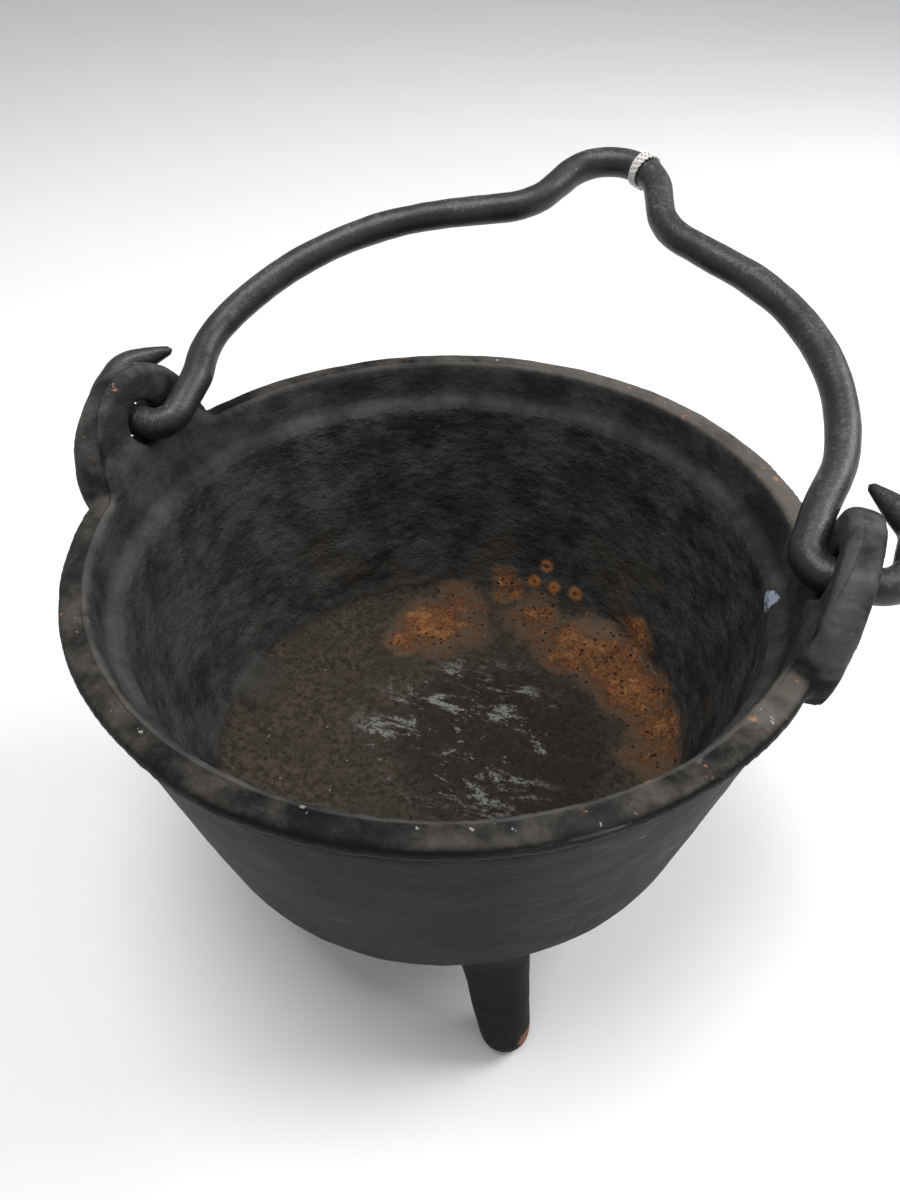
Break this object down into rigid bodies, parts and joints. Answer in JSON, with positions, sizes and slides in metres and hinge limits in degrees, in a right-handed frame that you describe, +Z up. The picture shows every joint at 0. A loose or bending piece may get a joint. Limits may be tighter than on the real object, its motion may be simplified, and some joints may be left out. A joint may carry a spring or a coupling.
{
  "type": "cauldron",
  "caption": "Round cast-iron cauldron on splayed legs, with pierced ears and a swinging forged bail that has a hump to hang it by.",
  "frame": {"origin": "on the pot's axis, on the ground under the feet", "axes": "+Z up along the pot's axis, +X along the hinge line through the ears, which lies 3.2 mm behind the axis, towards the ear that stands to the right of the front leg, +Y to the back, where the bail leans at rest"},
  "size_m": [0.2942, 0.2929, 0.2563],
  "materials": {
    "casting": "rough as-cast, blackened, rusty in places",
    "forged_bar": "forged and blackened, semi-matt",
    "string": "thin twisted cotton string"
  },
  "bodies": {
    "pot": {"bowl": "casting", "rim_band": "casting", "ear_right": "casting", "ear_left": "casting", "leg_front": "casting", "leg_back": "casting", "leg_left": "casting"},
    "bail": {"bail": "forged_bar", "string_tie": "string"}
  },
  "joints": [
    {"name": "bail_swing", "type": "hinge", "parent": "pot", "child": "bail", "pos_m": [0, 0.0032, 0.1924], "axis": [1, 0, 0], "range_deg": [0, 140]}
  ]
}
